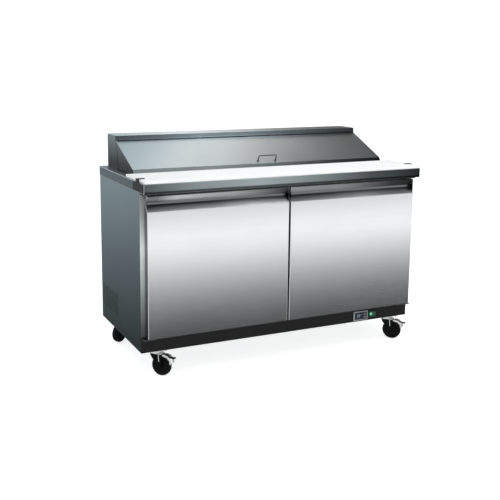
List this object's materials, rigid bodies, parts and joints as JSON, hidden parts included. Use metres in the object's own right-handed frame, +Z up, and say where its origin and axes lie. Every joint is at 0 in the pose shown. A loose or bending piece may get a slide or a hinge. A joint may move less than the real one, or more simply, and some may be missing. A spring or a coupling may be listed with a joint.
{
  "type": "sandwich prep table",
  "caption": "Refrigerated sandwich prep table: stainless two-door cabinet on swivel casters, full-width cutting board, recessed food pans under a slanted hinged lid with a rear hood.",
  "frame": {"origin": "on the floor, under the middle of the worktop", "axes": "+X along the length, to the right seen from the front; -Y is the front with the doors; +Z up"},
  "size_m": [1.5366, 0.718, 1.1205],
  "materials": {
    "stainless": "brushed, satin",
    "dark_sheet": "dark satin coating",
    "galvanised": "dull grey zinc coat",
    "zinc": "zinc plated",
    "liner_metal": "satin",
    "board_white": "fine matt grain",
    "black_plastic": "moulded, fine grain",
    "white_plastic": "formed, low gloss",
    "gasket_rubber": "matt",
    "caster_rubber": "matt, scuffed tread",
    "foam": "closed-cell foam",
    "compressor_black": "gloss enamel",
    "fins": "bare",
    "controller_grey": "moulded, satin",
    "display_dark": "gloss window",
    "button_grey": "moulded",
    "rocker_green": "translucent green"
  },
  "bodies": {
    "cabinet": {"left_side_panel": "stainless", "right_side_panel": "stainless", "face_frame": "stainless", "worktop": "stainless", "pan_rack": "stainless", "pan_row_front": "stainless", "pan_row_rear": "stainless", "hood_box": "stainless", "lid_hinge": "stainless", "back_panel": "galvanised", "rear_grille": "galvanised", "bottom_pan": "galvanised", "inner_liner": "liner_metal", "insulation": "foam", "kick_plate": "dark_sheet", "fan_shroud": "dark_sheet", "cutting_board": "board_white", "board_bracket_left": "black_plastic", "board_bracket_right": "black_plastic", "power_inlet_gland": "black_plastic", "switch_housing": "black_plastic", "evaporator_cover": "white_plastic", "shelf_left": "zinc", "shelf_right": "zinc", "door_hinge_top_left": "zinc", "door_hinge_bottom_left": "zinc", "door_hinge_top_right": "zinc", "door_hinge_bottom_right": "zinc", "compressor": "compressor_black", "condenser_coil": "fins", "controller_bezel": "controller_grey", "display_window": "display_dark", "caster_mount_front_left": "zinc", "caster_mount_front_right": "zinc", "caster_mount_rear_left": "zinc", "caster_mount_rear_right": "zinc"},
    "door_left": {"door_skin_left": "stainless", "door_liner_left": "white_plastic", "door_gasket_left": "gasket_rubber"},
    "door_right": {"door_skin_right": "stainless", "door_liner_right": "white_plastic", "door_gasket_right": "gasket_rubber"},
    "lid": {"lid_shell": "stainless", "lid_liner": "white_plastic", "lid_handle": "zinc"},
    "evaporator_fan": {"evaporator_fan": "black_plastic"},
    "condenser_fan": {"condenser_fan": "black_plastic"},
    "rocker": {"rocker_switch": "rocker_green"},
    "button_up": {"button_up": "button_grey"},
    "button_down": {"button_down": "button_grey"},
    "caster_swivel_front_left": {"caster_fork_front_left": "zinc"},
    "caster_wheel_front_left": {"caster_wheel_front_left": "caster_rubber"},
    "caster_swivel_front_right": {"caster_fork_front_right": "zinc"},
    "caster_wheel_front_right": {"caster_wheel_front_right": "caster_rubber"},
    "caster_swivel_rear_left": {"caster_fork_rear_left": "zinc"},
    "caster_wheel_rear_left": {"caster_wheel_rear_left": "caster_rubber"},
    "caster_swivel_rear_right": {"caster_fork_rear_right": "zinc"},
    "caster_wheel_rear_right": {"caster_wheel_rear_right": "caster_rubber"},
    "brake_pedal_front_left": {"brake_pedal_front_left": "black_plastic"},
    "brake_pedal_front_right": {"brake_pedal_front_right": "black_plastic"}
  },
  "joints": [
    {"name": "door_left_swing", "type": "hinge", "parent": "cabinet", "child": "door_left", "pos_m": [-0.731, -0.314, 0.5495], "axis": [0, 0, -1], "range_deg": [0, 110]},
    {"name": "door_right_swing", "type": "hinge", "parent": "cabinet", "child": "door_right", "pos_m": [0.731, -0.314, 0.5495], "axis": [0, 0, 1], "range_deg": [0, 110]},
    {"name": "lid_tilt", "type": "hinge", "parent": "cabinet", "child": "lid", "pos_m": [0, 0.2095, 1.0985], "axis": [-1, 0, 0], "range_deg": [0, 118]},
    {"name": "evaporator_fan_spin", "type": "hinge", "parent": "cabinet", "child": "evaporator_fan", "pos_m": [0, 0.266, 0.56], "axis": [0, 1, 0], "continuous": true},
    {"name": "condenser_fan_spin", "type": "hinge", "parent": "cabinet", "child": "condenser_fan", "pos_m": [-0.634, 0.213, 0.2299], "axis": [1, 0, 0], "continuous": true},
    {"name": "rocker_tilt", "type": "hinge", "parent": "cabinet", "child": "rocker", "pos_m": [0.541, -0.288, 0.162], "axis": [0, 0, 1], "range_deg": [0, 12]},
    {"name": "button_up_press", "type": "slide", "parent": "cabinet", "child": "button_up", "axis": [0, 1, 0], "range_m": [0, 0.001], "stiffness_N_per_m": 600},
    {"name": "button_down_press", "type": "slide", "parent": "cabinet", "child": "button_down", "axis": [0, 1, 0], "range_m": [0, 0.001], "stiffness_N_per_m": 600},
    {"name": "caster_front_left_swivel", "type": "hinge", "parent": "cabinet", "child": "caster_swivel_front_left", "pos_m": [-0.672, -0.246, 0.112], "axis": [0, 0, 1], "continuous": true},
    {"name": "caster_front_left_roll", "type": "hinge", "parent": "caster_swivel_front_left", "child": "caster_wheel_front_left", "pos_m": [-0.65272, -0.26898, 0.05], "axis": [0.766, 0.6428, 0], "continuous": true},
    {"name": "caster_front_right_swivel", "type": "hinge", "parent": "cabinet", "child": "caster_swivel_front_right", "pos_m": [0.672, -0.246, 0.112], "axis": [0, 0, 1], "continuous": true},
    {"name": "caster_front_right_roll", "type": "hinge", "parent": "caster_swivel_front_right", "child": "caster_wheel_front_right", "pos_m": [0.69128, -0.26898, 0.05], "axis": [0.766, 0.6428, 0], "continuous": true},
    {"name": "caster_rear_left_swivel", "type": "hinge", "parent": "cabinet", "child": "caster_swivel_rear_left", "pos_m": [-0.672, 0.29, 0.112], "axis": [0, 0, 1], "continuous": true},
    {"name": "caster_rear_left_roll", "type": "hinge", "parent": "caster_swivel_rear_left", "child": "caster_wheel_rear_left", "pos_m": [-0.69658, 0.27279, 0.05], "axis": [0.5736, -0.8192, 0], "continuous": true},
    {"name": "caster_rear_right_swivel", "type": "hinge", "parent": "cabinet", "child": "caster_swivel_rear_right", "pos_m": [0.672, 0.29, 0.112], "axis": [0, 0, 1], "continuous": true},
    {"name": "caster_rear_right_roll", "type": "hinge", "parent": "caster_swivel_rear_right", "child": "caster_wheel_rear_right", "pos_m": [0.64743, 0.27279, 0.05], "axis": [0.5736, -0.8192, 0], "continuous": true},
    {"name": "brake_front_left_press", "type": "hinge", "parent": "caster_swivel_front_left", "child": "brake_pedal_front_left", "pos_m": [-0.64372, -0.27971, 0.106], "axis": [0.766, 0.6428, 0], "range_deg": [0, 9]},
    {"name": "brake_front_right_press", "type": "hinge", "parent": "caster_swivel_front_right", "child": "brake_pedal_front_right", "pos_m": [0.70028, -0.27971, 0.106], "axis": [0.766, 0.6428, 0], "range_deg": [0, 9]}
  ]
}
